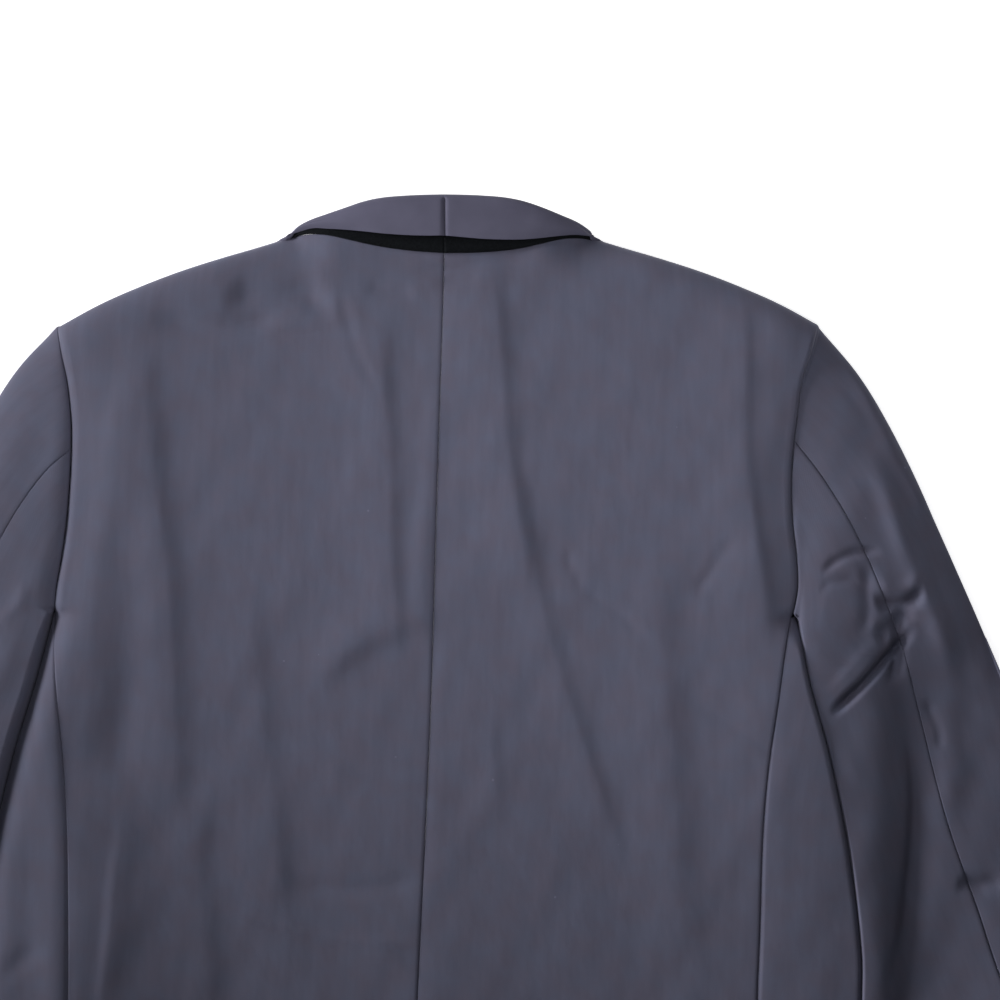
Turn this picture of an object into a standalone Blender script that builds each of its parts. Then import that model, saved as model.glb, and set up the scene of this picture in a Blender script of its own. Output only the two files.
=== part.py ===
"""A shawl-collar dinner jacket lying flat on its front, with its back uppermost.

Metres, +Z up, collar towards +Y, hem towards -Y, the wearer's left towards -X. The tables are in
millimetres, measured from the nape, where the centre back seam meets the neck. The last lines move
the jacket so that its origin is under the middle of its box, on the surface that it lies on.
"""

import math

import bmesh
import bpy
from mathutils import Vector

MM = 0.001
LEFT, RIGHT = -1, 1
SIDES = (("left", LEFT), ("right", RIGHT))

WOOL = 1.5
SATIN = 1.2
FELT = 1.5
SEAM = 0.3

# The body lies as a flattened tube. Its edge is this high, and from it the back rises in a quarter
# of an ellipse and the underside turns down to the surface in a smaller one.
EDGE_HEIGHT = 8.0
RISE = 60.0
TURN_UNDER = 10.0
SLOPE = 0.94

NECK_POINT = 93.0
SHOULDER_POINT = -46.0
UNDERARM = {LEFT: -226.0, RIGHT: -229.0}
SIDE_PANEL_TOP = {LEFT: -229.0, RIGHT: -232.0}
HEM = -765.0
# The rows of the body's panels under the arm: the panels on both sides of a seam share them.
LEVELS = (
    -236, -244, -258, -272, -294, -316, -347, -378, -412, -445, -500, -560, -625, -695, HEM,
)
FRONT_LEVELS = (-330, -362, -395, -428, -455, -475)
FRONT_TOP = 10.5
FRONT_HEM = -768.0
BACK_COLUMNS = 11
FRONT_COLUMNS = (0, 0.05, 0.12, 0.2, 0.3, 0.42, 0.55, 0.7, 0.85, 1)

# columns: distance from the middle, height of the shoulder line on the plan
SHOULDER = (
    (93, 10.5), (115, 3.8), (140, -3.5), (165, -11.6), (190, -21.2), (215, -32.3), (240, -46),
)
# columns: distance from the centre back seam, neck seam on the left, neck seam on the right
NECK = ((0, 0, 0), (20, 1.4, 0.3), (40, 4, 1.8), (55, 7, 4.2), (70, 10.2, 8), (82, 11.4, 9.6), (96, 10.4, 9.4))
# columns: y, centre back seam
CENTRE_BACK = ((-765, -23), (-600, -19), (-470, -14), (-300, -6), (-150, -1.5), (-40, 2), (0, 3))
# columns: y, left, right; the armhole seam, and under it the seams of the side panel
SIDE_SEAM = (
    (-765, -240, 203), (-600, -235, 199), (-471, -231.8, 199), (-426, -231.5, 200.6),
    (-363, -232.5, 202.5), (-323, -235, 206), (-282, -238.8, 212), (-241, -241.3, 218),
    (-213, -240.5, 224.2), (-191, -237, 223.6), (-168, -234, 221.1), (-143, -232, 220.5),
    (-121, -231.2, 222.1), (-104, -231.4, 224.3), (-82, -233.7, 227.4), (-66, -237, 232.5),
    (-46, -241, 238.2),
)
# columns: y, left, right; the outer edge of the body under the arms
BODY_EDGE = (
    (-765, -309, 265), (-560, -299, 264), (-470, -293, 264.6), (-440, -291, 264.5),
    (-378, -282.3, 257), (-316, -268, 244.5), (-272, -254.5, 232.5), (-244, -247, 227),
    (-229, -243.5, 224.6),
)
# columns: y, height of the back over the surface
CROWN = ((-765, 22), (-600, 24), (-400, 27), (-250, 29), (-140, 31), (-60, 28), (0, 24), (40, 22))
# how far a fold runs on past its ends, and over what length it dies away
FOLD_END = 30.0
FOLD_FADE = 70.0
# columns: start x, y, middle x, y, end x, y, half width, depth (a ridge is less than nothing)
FOLDS = (
    (-192, -55, -163, -206, -162, -338, 15, 3.0),
    (-197, -70, -222, -180, -246, -290, 16, -2.0),
    (-120, -231, -106, -307, -98, -389, 14, 2.6),
    (38, -30, 56, -175, 108, -340, 12, 2.4),
    (146, -219, 144, -300, 154, -430, 17, 2.8),
    (-202, -357, -222, -450, -236, -600, 14, -2.0),
    (-110, -520, -104, -640, -112, -765, 18, 2.8),
    (60, -470, 84, -620, 92, -765, 20, 3.0),
)

# columns: y, how far the front edge stands out from the middle, its roll line above the button
FRONT_EDGE = (
    (-768, 34), (-755, 10), (-735, -6), (-690, -17), (-600, -20), (-440, -18), (-390, -4), (-330, 12.5),
    (-260, 30.7), (-190, 48.8), (-120, 66.8), (-60, 81.5), (-20, 90.5), (10.5, 96),
)
# columns: inner x, y, outer x, y, height, height of the edge, bow, hindarm seam on the top
SLEEVE = {
    RIGHT: (
        (226.0, -229, 238.6, -46, 31, 8.0, 11, 0.60),
        (226.6, -232, 264.6, -78, 33, 8.5, 9, 0.58),
        (227.6, -236, 290, -122, 36, 9.0, 5, 0.56),
        (229.2, -244, 315, -176, 38, 9.5, 2, 0.55),
        (234.8, -272, 340, -232.5, 39, 10, 0, 0.55),
        (246.8, -316, 357, -272, 39, 10, 0, 0.52),
        (259.2, -378, 380, -331, 36, 10, 0, 0.50),
        (269.5, -445, 404, -393, 33, 9.0, 0, 0.54),
        (307, -549, 443, -498, 27, 8.0, 0, 0.62),
        (348, -653, 482, -603, 21, 7.0, 0, 0.70),
    ),
    LEFT: (
        (244.5, -226, 241.6, -46, 31, 8.0, 11, 0.57),
        (245.0, -229, 268, -75, 33, 8.5, 9, 0.57),
        (246.0, -233, 294, -118, 36, 9.0, 5, 0.56),
        (249.2, -244, 321, -171, 38, 9.5, 2, 0.55),
        (257.0, -272, 352, -227, 39, 10, 0, 0.54),
        (270.5, -316, 373, -268, 39, 10, 0, 0.52),
        (284.8, -378, 401, -325, 36, 10, 0, 0.50),
        (298, -440, 431, -385, 33, 9.0, 0, 0.54),
        (347, -546, 480, -487, 27, 8.0, 0, 0.62),
        (395, -645, 526, -588, 21, 7.0, 0, 0.70),
    ),
}
FOREARM_SEAM = 0.16
# how far round a sleeve's panel its columns stand, from its edge of the sleeve to its seam
TOP_COLUMNS = (0, 0.03, 0.12, 0.28, 0.5, 0.75, 1)
TOP_SLEEVE_UNDER = (0.02, 0.08, 0.3, 0.65, 1)
UNDER_SLEEVE_UNDER = (0.15, 0.5, 1)
UPPER_ROUND = (0, 0.03, 0.12, 0.28, 0.5, 0.75, 1)
UNDER_ROUND = (0, 0.03, 0.08, 0.4, 1)

# The satin collar folds round the undercollar. columns: x from the middle, how far the seam stands
# off the neck edge, fold y, edge y, height of the seam, of the fold and of the edge, half thickness
# of the fold, degrees that its fall leans out from lying on the back
COLLAR = (
    (0.15, 1.0, 36.7, 10.7, 20.0, 21.8, 32.0, 4.4, 0),
    (20, 1.0, 36.0, 10.3, 19.9, 21.6, 31.8, 4.4, 0),
    (40, 1.3, 34.4, 10.2, 19.0, 20.8, 30.6, 4.4, 0),
    (55, 1.8, 30.2, 11.0, 17.6, 19.4, 28.6, 4.3, 4),
    (68, 2.2, 24.6, 12.6, 15.6, 17.4, 26.0, 4.1, 10),
    (79, 2.3, 20.2, 12.2, 12.9, 14.4, 23.0, 3.7, 18),
    (88, 2.3, 17.6, 11.0, 10.2, 11.4, 19.6, 3.2, 26),
)
# columns: y of the roll line, width of the lapel across it
LAPEL = (
    (-4, 17), (-16, 28), (-34, 44), (-70, 60), (-120, 70), (-190, 69), (-260, 57), (-330, 39), (-362, 29),
    (-395, 17), (-428, 6),
)
LAPEL_FOLD = 2.6
# How far the lapels raise the fronts that lie on them, and how far the left front raises the right
# one that lies on it: beside the lapels, and below the button.
OVER_LAPEL = 2.0
OVER_LEFT = 5.8
OVER_LEFT_BELOW = 2.0

BUTTON_SIDES = 12
BUTTON_AT = (0, -466)
BUTTON_ACROSS = 20.0
BUTTON_THICK = 3.2
BUTTON_ROOM = 3.7
CUFF_BUTTON_ACROSS = 15.0
CUFF_BUTTON_THICK = 2.6
# how far down the last stretch of the sleeve each cuff button stands, and how far from the seam
CUFF_BUTTONS = (0.60, 0.76, 0.92)
FROM_HINDARM = 0.09
SHANK = 0.6

WOOL_BLUE = (0.088, 0.088, 0.124)
SATIN_BLUE = (0.110, 0.108, 0.148)
FELT_BLACK = (0.006, 0.007, 0.009)


def clear_scene():
    for obj in list(bpy.data.objects):
        bpy.data.objects.remove(obj)


def material(name, colour, roughness):
    made = bpy.data.materials.new(name)
    made.use_nodes = True
    shader = made.node_tree.nodes["Principled BSDF"]
    shader.inputs["Base Color"].default_value = (*colour, 1)
    shader.inputs["Roughness"].default_value = roughness
    shader.inputs["Metallic"].default_value = 0
    return made


def steps(count):
    return [k / count for k in range(count + 1)]


def mix(a, b, part):
    return a + (b - a) * part


def ramp(value):
    return min(max(value, 0), 1)


def smooth(value):
    return ramp(value) ** 2 * (3 - 2 * ramp(value))


def read(table, at, column=1):
    """A table's column where its first column is `at`, on a smooth curve through the rows."""
    rows = sorted(table)
    at = min(max(at, rows[0][0]), rows[-1][0])
    k = next(i for i in range(1, len(rows)) if at <= rows[i][0])

    def slope(i):
        before, after = rows[max(i - 1, 0)], rows[min(i + 1, len(rows) - 1)]
        return (after[column] - before[column]) / (after[0] - before[0])

    (x0, y0), (x1, y1) = ((rows[i][0], rows[i][column]) for i in (k - 1, k))
    span = x1 - x0
    t = (at - x0) / span
    steady = (2 * t**3 - 3 * t**2 + 1) * y0 + (3 * t**2 - 2 * t**3) * y1
    return steady + span * ((t**3 - 2 * t**2 + t) * slope(k - 1) + (t**3 - t**2) * slope(k))


def of_side(table, at, side):
    return read(table, at, 1 if side == LEFT else 2)


def centre_x(y):
    return read(CENTRE_BACK, y)


def neck_y(x, side):
    return of_side(NECK, abs(x - centre_x(0)), side)


# The flattened body


def from_shoulder(x, y):
    """How far a point of the plan lies inside the shoulder line."""
    out = abs(x)
    if out >= NECK_POINT:
        return (read(SHOULDER, out) - y) * SLOPE
    return math.hypot(NECK_POINT - out, (read(SHOULDER, NECK_POINT) - y) * SLOPE)


def from_side(x, y, side):
    """How far it lies inside the edge of the body under one arm."""
    if y > UNDERARM[side]:
        return math.hypot(x - of_side(BODY_EDGE, UNDERARM[side], side), y - UNDERARM[side])
    return side * (of_side(BODY_EDGE, y, side) - x)


def from_edge(x, y):
    return min(from_shoulder(x, y), from_side(x, y, LEFT), from_side(x, y, RIGHT))


def inward(x, y):
    step = 0.5
    across = from_edge(x + step, y) - from_edge(x - step, y)
    along = from_edge(x, y + step) - from_edge(x, y - step)
    return Vector((across, along, 0)).normalized()


def quarter(distance, reach):
    """Cosine and sine of the angle round a quarter ellipse at this distance from its end."""
    cosine = 1 - min(max(distance / reach, 0), 1)
    return cosine, math.sqrt(1 - cosine * cosine)


def fold_depth(x, y):
    """How far the cloth sinks below its crown, from the folds that pass this point of the plan."""
    total = 0
    for x0, y0, x1, y1, x2, y2, half_width, depth in FOLDS:
        above, below = y0 + FOLD_END - y, y - y2 + FOLD_END
        if min(above, below) <= 0:
            continue
        middle = read(((y2, x2), (y1, x1), (y0, x0)), y)
        ends = smooth(above / FOLD_FADE) * smooth(below / FOLD_FADE)
        total += depth * ends * math.exp(-(((x - middle) / half_width) ** 2))
    return total


def back_point(x, y):
    """A point of the back, and the way into its wall."""
    cosine, sine = quarter(from_edge(x, y), RISE)
    height = read(CROWN, y) - EDGE_HEIGHT
    sunk = fold_depth(x, y) * sine**2
    return Vector((x, y, EDGE_HEIGHT + height * sine - sunk)), inward(x, y) * cosine - Vector((0, 0, sine))


def under_point(x, y, lift=0):
    """A point of the underside, and the way into its wall."""
    cosine, sine = quarter(from_edge(x, y), TURN_UNDER)
    height = EDGE_HEIGHT * (1 - sine) + lift * sine
    return Vector((x, y, height)), inward(x, y) * cosine + Vector((0, 0, sine))


def patch(top, bottom, left, right, p, q):
    """A point of the surface that four curves of the plan bound."""
    corners = mix(mix(left(0), right(0), p), mix(left(1), right(1), p), q)
    return mix(top(p), bottom(p), q) + mix(left(q), right(q), p) - corners


def wall(name, grid, thickness, finish):
    """A closed wall of cloth: a grid of outer points with their ways in, and the same points moved in."""
    bm = bmesh.new()
    outer = [[bm.verts.new(point * MM) for point, _ in row] for row in grid]
    inner = [[bm.verts.new((point + way * thickness) * MM) for point, way in row] for row in grid]
    last_row, last_column = len(grid) - 1, len(grid[0]) - 1
    for i in range(last_row):
        for j in range(last_column):
            for face, turn in ((outer, 1), (inner, -1)):
                near, far = face[i][j], face[i + 1][j + 1]
                bm.faces.new((near, face[i][j + 1], far)[::turn])
                bm.faces.new((near, far, face[i + 1][j])[::turn])
    border = [(0, j) for j in range(last_column)] + [(i, last_column) for i in range(last_row)]
    border += [(last_row, j) for j in range(last_column, 0, -1)] + [(i, 0) for i in range(last_row, 0, -1)]
    for (i, j), (k, m) in zip(border, border[1:] + border[:1]):
        bm.faces.new((outer[i][j], inner[i][j], inner[k][m], outer[k][m]))
    bmesh.ops.recalc_face_normals(bm, faces=bm.faces)
    mesh = bpy.data.meshes.new(name)
    bm.to_mesh(mesh)
    bm.free()
    mesh.materials.append(finish)
    mesh.shade_smooth()
    obj = bpy.data.objects.new(name, mesh)
    bpy.context.scene.collection.objects.link(obj)
    return obj


def side_curve(side, inset):
    """The armhole and the side seam, from the shoulder point down to the hem."""
    def curve(q):
        y = mix(SHOULDER_POINT, HEM, q)
        return Vector((of_side(SIDE_SEAM, y, side) - side * inset, y - inset * (1 - q)))
    return curve


def rows_down(side, columns, under_columns, seam, more=()):
    """Parts of the way down a panel: level with the sleeve's columns at the armhole, then the levels."""
    along = [1 - part * (1 - seam) for part in columns] + [part * seam for part in under_columns]
    levels = [mix(UNDERARM[side], SHOULDER_POINT, part) for part in along] + list(LEVELS) + list(more)
    return [(y - SHOULDER_POINT) / (HEM - SHOULDER_POINT) for y in sorted(set(levels), reverse=True)]


def build_back(name, side, finish):
    gap = SEAM / 2
    outer = side_curve(side, gap)

    def centre(q):
        y = mix(0, HEM, q)
        return Vector((centre_x(y) + side * gap, y))

    def top(p):
        x = mix(centre(0).x, outer(0).x, p)
        return Vector((x, neck_y(x, side) if abs(x) < NECK_POINT else read(SHOULDER, abs(x)) - gap))

    def hem(p):
        return Vector((mix(centre(1).x, outer(1).x, p), HEM))

    down = rows_down(side, TOP_COLUMNS, TOP_COLUMNS[1:-1], SLEEVE[side][0][-1])
    grid = [[back_point(*patch(top, hem, centre, outer, p, q)) for p in steps(BACK_COLUMNS)] for q in down]
    for point, _ in grid[0]:
        point.z += gap
    return wall(name, grid, WOOL, finish)


def build_side(name, side, finish):
    gap = SEAM / 2
    grid = []
    for y in (SIDE_PANEL_TOP[side], *LEVELS):
        edge = of_side(BODY_EDGE, y, side)
        width = abs(edge - of_side(SIDE_SEAM, y, side)) - gap
        upper = [back_point(edge - side * width * part, y) for part in UPPER_ROUND[::-1]]
        lower = [under_point(edge - side * width * part, y) for part in UNDER_ROUND[1:]]
        grid.append(upper + lower)
    return wall(name, grid, WOOL, finish)


def lapel_reach(y):
    """How far the lapel reaches from the middle, level with a point of the front."""
    return read(FRONT_EDGE, y) + read(LAPEL, y) + 14


def over_left(x, y):
    """How far the right front's pieces are raised by the left front's, which lie under them."""
    above = mix(OVER_LEFT, 0, ramp((y + 366) / 150))
    below = mix(OVER_LEFT_BELOW, OVER_LEFT, ramp((y + 530) / 80))
    return min(above, below) * (1 - ramp((x - centre_x(y) - 30) / 100))


def over_button(x, y):
    away = math.hypot(x - BUTTON_AT[0] - centre_x(y), y - BUTTON_AT[1])
    return BUTTON_ROOM * (1 - smooth((away - 26) / 60))


def front_lift(x, y, side):
    out = side * (x - centre_x(y))
    over_lapel = OVER_LAPEL * (1 - smooth((out - lapel_reach(y)) / 30)) * smooth((y + 462) / 34)
    right_only = over_left(x, y) if side == RIGHT else 0
    return over_lapel + right_only + over_button(x, y)


def build_front(name, side, finish):
    gap = SEAM / 2
    outer = side_curve(side, gap)

    def edge(q):
        y = mix(FRONT_TOP - gap, FRONT_HEM, q)
        return Vector((centre_x(y) + side * (read(FRONT_EDGE, y) + LAPEL_FOLD), y))

    def top(p):
        x = mix(edge(0).x, outer(0).x, p)
        return Vector((x, read(SHOULDER, abs(x)) - gap))

    def hem(p):
        return Vector((mix(edge(1).x, outer(1).x, p), mix(FRONT_HEM, HEM, smooth(p * 3))))

    down = rows_down(side, (0,) + TOP_SLEEVE_UNDER, UNDER_SLEEVE_UNDER[:-1], FOREARM_SEAM, FRONT_LEVELS)
    grid = []
    for q in down:
        row = []
        for p in FRONT_COLUMNS:
            x, y = patch(top, hem, edge, outer, p, q)
            row.append(under_point(x, y, front_lift(x, y, side)))
        grid.append(row)
    for point, _ in grid[0]:
        point.z -= gap
    return wall(name, grid, WOOL, finish)


# The sleeves, through sections that each stand on a chord from the inner edge to the outer


def sleeve_point(side, row, along, upper):
    """A point on a sleeve's section, and the way into its wall. `along` runs from the inner edge."""
    inner_x, inner_y, outer_x, outer_y, height, edge_height, bow, _ = row
    inner, outer = Vector((side * inner_x, inner_y, 0)), Vector((side * outer_x, outer_y, 0))
    chord = outer - inner
    to_body = Vector((-side * abs(chord.y), side * chord.x, 0)).normalized()
    point = inner + chord * along + to_body * bow * 4 * along * (1 - along)
    nearest = min(along, 1 - along) * chord.length
    reach = 0.46 * chord.length if upper else TURN_UNDER
    cosine, sine = quarter(nearest, reach)
    way = chord.normalized() * (cosine if along < 0.5 else -cosine)
    if row is SLEEVE[side][0]:
        point.x = of_side(SIDE_SEAM, point.y, side) + side * SEAM / 2
        point.z = (back_point(point.x, point.y) if upper else under_point(point.x, point.y))[0].z
    else:
        point.z = edge_height + (height - edge_height) * sine if upper else edge_height * (1 - sine)
    return point, way + Vector((0, 0, -sine if upper else sine))


def seam_gap(row):
    return SEAM / 2 / math.dist(row[:2], row[2:4])


def build_top_sleeve(name, side, finish):
    """From the hindarm seam on top, round the outer edge, to the forearm seam underneath."""
    grid = []
    for row in SLEEVE[side]:
        seam, gap = row[-1], seam_gap(row)
        upper = [1 - part * (1 - seam - gap) for part in TOP_COLUMNS[::-1]]
        lower = [1 - part * (1 - FOREARM_SEAM - gap) for part in TOP_SLEEVE_UNDER]
        points = [sleeve_point(side, row, along, True) for along in upper]
        grid.append(points + [sleeve_point(side, row, along, False) for along in lower])
    return wall(name, grid, WOOL, finish)


def build_under_sleeve(name, side, finish):
    """From the hindarm seam on top, round the inner edge, to the forearm seam underneath."""
    grid = []
    for row in SLEEVE[side]:
        seam, gap = row[-1], seam_gap(row)
        upper = [part * (seam - gap) for part in TOP_COLUMNS[::-1]]
        lower = [part * (FOREARM_SEAM - gap) for part in UNDER_SLEEVE_UNDER]
        points = [sleeve_point(side, row, along, True) for along in upper]
        grid.append(points + [sleeve_point(side, row, along, False) for along in lower])
    return wall(name, grid, WOOL, finish)


# The collar


def collar_path(seam, fold, edge, half, lift_way, swell=1.6):
    """Points across the collar: up the stand, round the fold, and down the fall to the free edge."""
    up = (fold - seam).normalized()
    lift_way = (lift_way - up * lift_way.dot(up)).normalized()
    middle = fold - up * half + lift_way * half
    bend = [math.radians(angle) for angle in (-90, -45, 0, 45, 90)]
    turn = [middle + (up * math.cos(a) + lift_way * math.sin(a)) * half for a in bend]
    fall = [mix(turn[-1], edge, part) + lift_way * swell * math.sin(math.pi * part) for part in (0.4, 0.72, 1)]
    return [seam, mix(seam, turn[0], 0.5)] + turn + fall


def ways_in(path, side_way):
    """The way into the fold at each point of a path, square to it and to the collar's length."""
    ways = []
    for k, point in enumerate(path):
        before, after = path[max(k - 1, 0)], path[min(k + 1, len(path) - 1)]
        ways.append(side_way.cross(after - before).normalized())
    return ways


def collar_rows(side):
    """The paths across the collar, from the centre back seam to the end of the lapel."""
    rows = []
    for out, off, fold_y, edge_y, seam_z, fold_z, edge_z, half, leaning in COLLAR:
        x = centre_x(0) + side * out
        angle = math.radians(leaning)
        lift_way = Vector((side * math.sin(angle), 0, math.cos(angle)))
        higher = neck_y(x, side) - neck_y(centre_x(0) + out, RIGHT)
        seam, fold = Vector((x, neck_y(x, side) + off, seam_z)), Vector((x, fold_y + higher / 3, fold_z))
        rows.append(collar_path(seam, fold, Vector((x, edge_y + higher, edge_z)), half, lift_way))
    return rows


def lapel_rows(side):
    rows = []
    for y, width in LAPEL:
        fold = Vector((centre_x(y) + side * read(FRONT_EDGE, y), y, 2 * LAPEL_FOLD))
        slope = Vector((side * (read(FRONT_EDGE, y + 5) - read(FRONT_EDGE, y - 5)), 10, 0)).normalized()
        out = Vector((side * slope.y, -side * slope.x, 0))
        seam = fold + out * (LAPEL_FOLD + 1.5)
        edge = fold + out * (width + LAPEL_FOLD)
        edge.z = 0
        path = collar_path(seam, fold, edge, LAPEL_FOLD, Vector((0, 0, -1)), 0)
        for point in path:
            raised = over_left(point.x, point.y) if side == RIGHT else 0
            point.z += raised + over_button(point.x, point.y)
        rows.append(path)
    return rows


def strip(name, rows, side, start, thickness, finish):
    grid = []
    for k, path in enumerate(rows):
        along = rows[min(k + 1, len(rows) - 1)][4] - rows[max(k - 1, 0)][4]
        ways = ways_in(path, along.normalized() * side)
        grid.append([(point + way * start, way) for point, way in zip(path, ways)])
    return wall(name, grid, thickness, finish)


# Buttons


def build_button(name, centre, axis, across, thick, finish):
    """A covered button: a round dome on a flat back, with its axis along the way out of the cloth."""
    bm = bmesh.new()
    bmesh.ops.create_circle(bm, cap_ends=True, segments=BUTTON_SIDES, radius=across / 2 * MM)
    bottom = list(bm.faces)
    rim = bmesh.ops.extrude_face_region(bm, geom=bottom)["geom"]
    bmesh.ops.translate(bm, verts=[v for v in rim if isinstance(v, bmesh.types.BMVert)], vec=(0, 0, thick * 0.6 * MM))
    crown = [face for face in rim if isinstance(face, bmesh.types.BMFace)]
    bmesh.ops.inset_region(bm, faces=crown, thickness=across * 0.16 * MM, depth=thick * 0.4 * MM)
    bmesh.ops.recalc_face_normals(bm, faces=bm.faces)
    mesh = bpy.data.meshes.new(name)
    bm.to_mesh(mesh)
    bm.free()
    mesh.materials.append(finish)
    obj = bpy.data.objects.new(name, mesh)
    obj.rotation_mode = "QUATERNION"
    obj.rotation_quaternion = Vector((0, 0, 1)).rotation_difference(axis)
    obj.location = centre * MM
    bpy.context.scene.collection.objects.link(obj)
    return obj


def build_cuff_buttons(side_name, side, finish):
    last, cuff = SLEEVE[side][-2:]
    for number, part in enumerate(CUFF_BUTTONS, 1):
        row = tuple(mix(a, b, part) for a, b in zip(last, cuff))
        along = row[-1] + FROM_HINDARM
        point, way = sleeve_point(side, row, along, True)
        before, _ = sleeve_point(side, row, along - 0.05, True)
        after, _ = sleeve_point(side, row, along + 0.05, True)
        length = Vector((side * (cuff[0] - last[0]), cuff[1] - last[1], cuff[4] - last[4]))
        axis = (after - before).cross(length).normalized()
        axis = axis if axis.z > 0 else -axis
        name = f"cuff_button_{side_name}_{number}"
        build_button(name, point + axis * SHANK, axis, CUFF_BUTTON_ACROSS, CUFF_BUTTON_THICK, finish)


def build_front_button(finish):
    x, y = BUTTON_AT[0] + centre_x(BUTTON_AT[1]), BUTTON_AT[1]
    centre = Vector((x, y, BUTTON_THICK))
    build_button("front_button", centre, Vector((0, 0, -1)), BUTTON_ACROSS, BUTTON_THICK, finish)


def move_to_origin():
    """Puts the middle of the jacket's box over the origin, with its underside at height nought."""
    bpy.context.view_layer.update()
    corners = [obj.matrix_world @ v.co for obj in bpy.data.objects for v in obj.data.vertices]
    low = [min(corner[axis] for corner in corners) for axis in range(3)]
    high = [max(corner[axis] for corner in corners) for axis in range(3)]
    shift = Vector((-(low[0] + high[0]) / 2, -(low[1] + high[1]) / 2, -low[2]))
    for obj in bpy.data.objects:
        obj.location += shift


clear_scene()
wool = material("midnight_wool", WOOL_BLUE, 0.8)
satin = material("satin", SATIN_BLUE, 0.4)
felt = material("undercollar_felt", FELT_BLACK, 0.95)
for side_name, side in SIDES:
    build_back(f"back_{side_name}", side, wool)
    build_side(f"side_{side_name}", side, wool)
    build_front(f"front_{side_name}", side, wool)
    build_top_sleeve(f"top_sleeve_{side_name}", side, wool)
    build_under_sleeve(f"under_sleeve_{side_name}", side, wool)
    collar = collar_rows(side)
    strip(f"collar_{side_name}", collar, side, 0, SATIN, satin)
    strip(f"lapel_{side_name}", lapel_rows(side), side, 0, SATIN, satin)
    strip(f"undercollar_{side_name}", collar, side, SATIN + 2 * SEAM, FELT, felt)
    build_cuff_buttons(side_name, side, satin)
build_front_button(satin)
move_to_origin()
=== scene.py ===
"""A tuxedo jacket laid flat on its front, with its back uppermost.

The tables are in millimetres from the nape, where the centre back seam meets the neck: +Y to the
collar, +X to the wearer's right, +Z up from the surface that the jacket lies on. Only the creases given
to placed() are in steps instead, which are explained at STEP.
"""

import math

import bmesh
import bpy
import numpy as np
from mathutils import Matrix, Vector


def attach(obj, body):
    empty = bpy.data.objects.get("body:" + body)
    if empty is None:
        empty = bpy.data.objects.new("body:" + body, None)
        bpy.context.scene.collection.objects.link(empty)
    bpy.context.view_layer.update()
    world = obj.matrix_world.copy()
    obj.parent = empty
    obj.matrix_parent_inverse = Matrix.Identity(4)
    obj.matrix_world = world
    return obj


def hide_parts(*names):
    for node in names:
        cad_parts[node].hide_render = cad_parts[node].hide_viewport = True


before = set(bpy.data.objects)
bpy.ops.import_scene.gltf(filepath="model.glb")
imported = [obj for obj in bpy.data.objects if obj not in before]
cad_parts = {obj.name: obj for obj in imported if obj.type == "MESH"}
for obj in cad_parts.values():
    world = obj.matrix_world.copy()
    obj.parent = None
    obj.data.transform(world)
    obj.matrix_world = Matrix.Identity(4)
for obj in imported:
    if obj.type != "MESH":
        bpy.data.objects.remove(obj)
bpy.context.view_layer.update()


# ---------------------------------------------------------------------------------------- The back
# Two panels of fine midnight blue worsted, cut with the grain straight down and joined by the centre
# back seam. They lie on the fronts, stand highest over the shoulder blades, round over to the edge of
# the flattened body at the shoulders, and carry the creases that the cloth takes when it is laid down.

LEFT, RIGHT = -1, 1
SIDES = (("left", LEFT), ("right", RIGHT))
NAPE = np.array((22.0, 365.76, 0.0))
WOOL = 1.2
SEAM = 0.02
EDGE_HEIGHT = 8.0
RISE = 27.0
TURN_UNDER = 10.0
SLOPE = 0.94
NECK_POINT = 93.0
SHOULDER_POINT = -46.0
HEM = -765.0
UNDERARM = {LEFT: -226.0, RIGHT: -229.0}
# columns: distance from the middle, height of the shoulder line on the plan
SHOULDER = (
    (93, 10.5), (115, 3.8), (140, -3.5), (165, -11.6), (190, -21.2), (215, -32.3), (240, -46),
)
# columns: distance from the centre back seam, neck seam on the left, neck seam on the right
NECK = (
    (0, 0, 0), (20, 1.4, 0.3), (40, 4, 1.8), (55, 7, 4.2), (70, 10.2, 8), (82, 11.4, 9.6), (96, 10.4, 9.4),
)
# columns: y, centre back seam
CENTRE_BACK = ((-765, -23), (-600, -19), (-470, -14), (-300, -6), (-150, -1.5), (-40, 2), (0, 3))
# columns: y, left, right; the armhole seam, and under it the seams of the side panel
SIDE_SEAM = (
    (-765, -240, 203), (-600, -235, 199), (-471, -231.8, 199), (-426, -231.5, 200.6),
    (-363, -232.5, 202.5), (-323, -235, 206), (-282, -238.8, 212), (-241, -241.3, 218),
    (-213, -240.5, 224.2), (-191, -237, 223.6), (-168, -234, 221.1), (-143, -232, 220.5),
    (-121, -231.2, 222.1), (-104, -231.4, 224.3), (-82, -233.7, 227.4), (-66, -237, 232.5),
    (-46, -241, 238.2),
)
# columns: y, left, right; the outer edge of the body under the arms
BODY_EDGE = (
    (-765, -309, 265), (-560, -299, 264), (-470, -293, 264.6), (-440, -291, 264.5),
    (-378, -282.3, 257), (-316, -268, 244.5), (-272, -254.5, 232.5), (-244, -247, 227),
    (-229, -243.5, 224.6),
)
# columns: y, height of the back over the surface
CROWN = ((-765, 22), (-600, 24), (-400, 27), (-250, 29), (-140, 31), (-60, 28), (0, 24), (40, 22))
# Most creases are placed in steps of this many millimetres, counted across to the right and down from a
# corner beyond the left shoulder. The nape is at NAPE_STEP.
STEP = 0.63
NAPE_STEP = (440, 253)
# The part of its first height that a crease of the back keeps.
BACK_EASE = 0.95
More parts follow.
